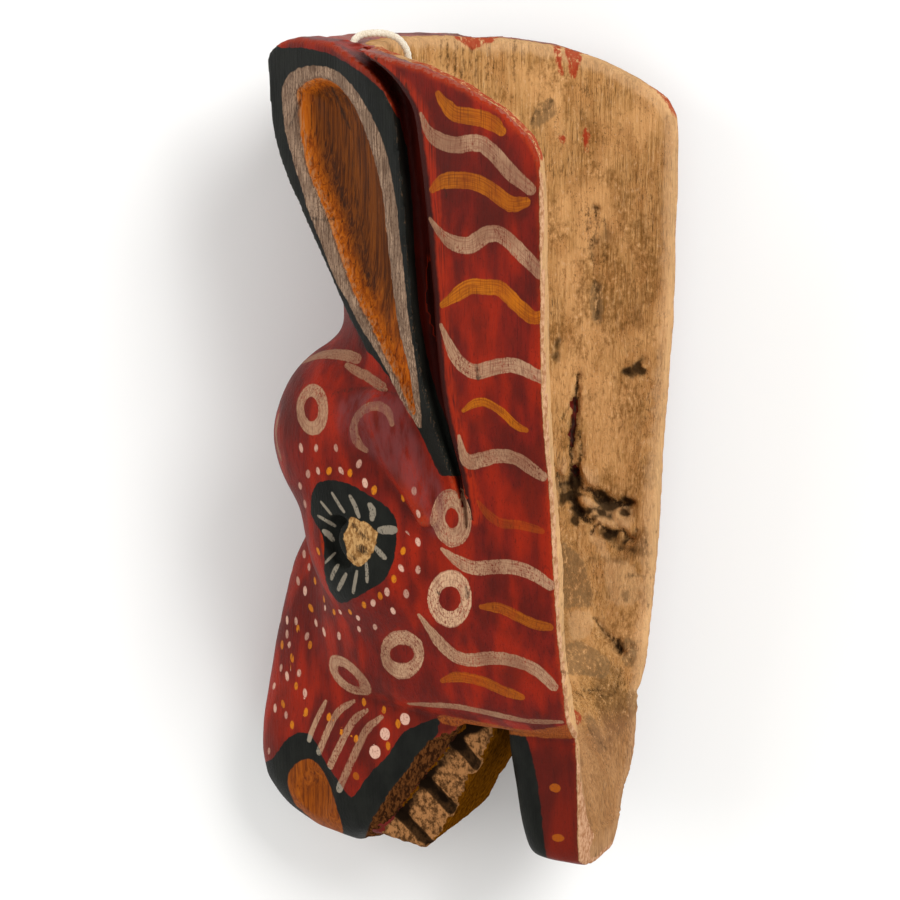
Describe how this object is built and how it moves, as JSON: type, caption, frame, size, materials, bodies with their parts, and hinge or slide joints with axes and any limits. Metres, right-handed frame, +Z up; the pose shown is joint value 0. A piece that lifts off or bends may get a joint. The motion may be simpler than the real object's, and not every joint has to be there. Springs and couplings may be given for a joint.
{
  "type": "animal mask",
  "caption": "Carved and painted wooden animal mask with a hollow back, tall cupped ears, a long snout with bared teeth and an open jaw, lying on its side.",
  "frame": {"origin": "centre of the mask's footprint on the surface it lies on", "axes": "+Y along the mask from chin to ears, +Z up from the side it lies on, -X towards the face and +X towards the open back"},
  "size_m": [0.1732, 0.3388, 0.186],
  "materials": {
    "painted_wood": "worn semi-gloss paint over raw wood",
    "cotton_string": "matt twisted cotton"
  },
  "bodies": {
    "root": {"mask": "painted_wood", "hanging_cord": "cotton_string", "cord_knot": "cotton_string"}
  },
  "joints": []
}
